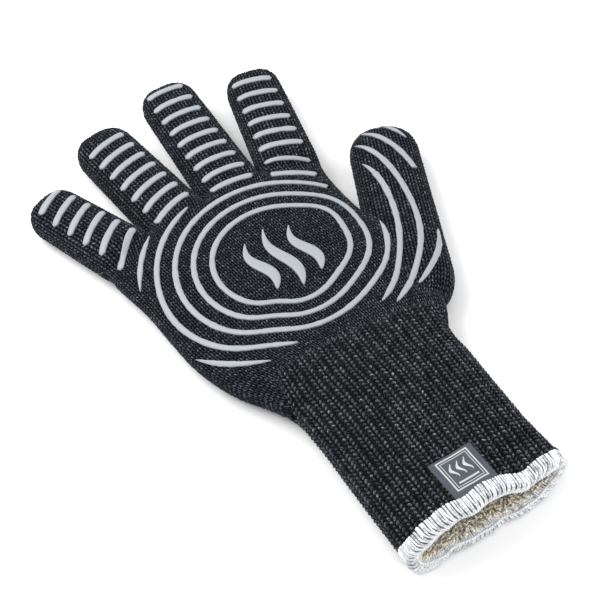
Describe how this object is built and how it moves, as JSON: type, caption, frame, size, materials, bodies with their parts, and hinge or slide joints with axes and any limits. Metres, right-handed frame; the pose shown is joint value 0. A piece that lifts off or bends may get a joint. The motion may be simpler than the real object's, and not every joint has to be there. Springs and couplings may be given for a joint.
{
  "type": "heat resistant glove",
  "caption": "Knitted heat resistant cooking glove: ribbed cuff, soft liner, silicone grip rings and bars on both faces, overlocked mouth; wrist, finger and thumb folds move.",
  "frame": {"origin": "on the surface that the glove lies on, under the centre of the rings of the palm, where the back heat line meets it", "axes": "+Y runs from the cuff to the fingers, +X to the thumb, +Z out of the palm face"},
  "size_m": [0.191, 0.3392, 0.0284],
  "materials": {
    "knit": "charcoal knitted yarn, matte",
    "lining": "cream looped cotton, matte",
    "silicone": "silver grey printed silicone, satin",
    "yarn": "white and grey overlock yarn, matte",
    "woven": "slate woven label, matte"
  },
  "bodies": {
    "palm": {"palm_shell": "knit", "palm_liner": "lining", "palm_grip": "silicone", "palm_emblem": "silicone", "palm_back_grip": "silicone", "palm_back_emblem": "silicone"},
    "cuff": {"cuff_shell": "knit", "cuff_liner": "lining", "cuff_binding": "yarn", "cuff_label": "woven"},
    "little_base": {"little_base_shell": "knit", "little_base_liner": "lining", "little_base_grip": "silicone", "little_base_back_grip": "silicone"},
    "little_tip": {"little_tip_shell": "knit", "little_tip_liner": "lining", "little_tip_grip": "silicone", "little_tip_back_grip": "silicone"},
    "ring_base": {"ring_base_shell": "knit", "ring_base_liner": "lining", "ring_base_grip": "silicone", "ring_base_back_grip": "silicone"},
    "ring_tip": {"ring_tip_shell": "knit", "ring_tip_liner": "lining", "ring_tip_grip": "silicone", "ring_tip_back_grip": "silicone"},
    "middle_base": {"middle_base_shell": "knit", "middle_base_liner": "lining", "middle_base_grip": "silicone", "middle_base_back_grip": "silicone"},
    "middle_tip": {"middle_tip_shell": "knit", "middle_tip_liner": "lining", "middle_tip_grip": "silicone", "middle_tip_back_grip": "silicone"},
    "index_base": {"index_base_shell": "knit", "index_base_liner": "lining", "index_base_grip": "silicone", "index_base_back_grip": "silicone"},
    "index_tip": {"index_tip_shell": "knit", "index_tip_liner": "lining", "index_tip_grip": "silicone", "index_tip_back_grip": "silicone"},
    "thumb_base": {"thumb_base_shell": "knit", "thumb_base_liner": "lining", "thumb_base_grip": "silicone", "thumb_base_back_grip": "silicone"},
    "thumb_tip": {"thumb_tip_shell": "knit", "thumb_tip_liner": "lining", "thumb_tip_grip": "silicone", "thumb_tip_back_grip": "silicone"}
  },
  "joints": [
    {"name": "wrist_fold", "type": "hinge", "parent": "palm", "child": "cuff", "pos_m": [0.0055, -0.0755, 0.0285], "axis": [-1, 0, 0], "range_deg": [0, 45]},
    {"name": "little_root_fold", "type": "hinge", "parent": "palm", "child": "little_base", "pos_m": [-0.0665, 0.0697, 0.02219], "axis": [0.9336, 0.3584, 0], "range_deg": [0, 60]},
    {"name": "little_middle_fold", "type": "hinge", "parent": "little_base", "child": "little_tip", "pos_m": [-0.0743, 0.09001, 0.02164], "axis": [0.9336, 0.3584, 0], "range_deg": [0, 70]},
    {"name": "ring_root_fold", "type": "hinge", "parent": "palm", "child": "ring_base", "pos_m": [-0.0316, 0.08002, 0.02224], "axis": [0.9903, 0.1392, 0], "range_deg": [0, 60]},
    {"name": "ring_middle_fold", "type": "hinge", "parent": "ring_base", "child": "ring_tip", "pos_m": [-0.03595, 0.11095, 0.02164], "axis": [0.9903, 0.1392, 0], "range_deg": [0, 70]},
    {"name": "middle_root_fold", "type": "hinge", "parent": "palm", "child": "middle_base", "pos_m": [0.00407, 0.0859, 0.02223], "axis": [0.9998, -0.0174, 0], "range_deg": [0, 60]},
    {"name": "middle_middle_fold", "type": "hinge", "parent": "middle_base", "child": "middle_tip", "pos_m": [0.0046, 0.11651, 0.02171], "axis": [0.9998, -0.0174, 0], "range_deg": [0, 70]},
    {"name": "index_root_fold", "type": "hinge", "parent": "palm", "child": "index_base", "pos_m": [0.03809, 0.07716, 0.0223], "axis": [0.9833, -0.1822, 0], "range_deg": [0, 60]},
    {"name": "index_middle_fold", "type": "hinge", "parent": "index_base", "child": "index_tip", "pos_m": [0.04382, 0.10809, 0.02168], "axis": [0.9833, -0.1822, 0], "range_deg": [0, 70]},
    {"name": "thumb_root_fold", "type": "hinge", "parent": "palm", "child": "thumb_base", "pos_m": [0.06953, 0.01271, 0.02268], "axis": [0.7716, -0.6361, 0], "range_deg": [0, 45]},
    {"name": "thumb_middle_fold", "type": "hinge", "parent": "thumb_base", "child": "thumb_tip", "pos_m": [0.07854, 0.03817, 0.02234], "axis": [0.9426, -0.3338, 0], "range_deg": [0, 50]}
  ]
}
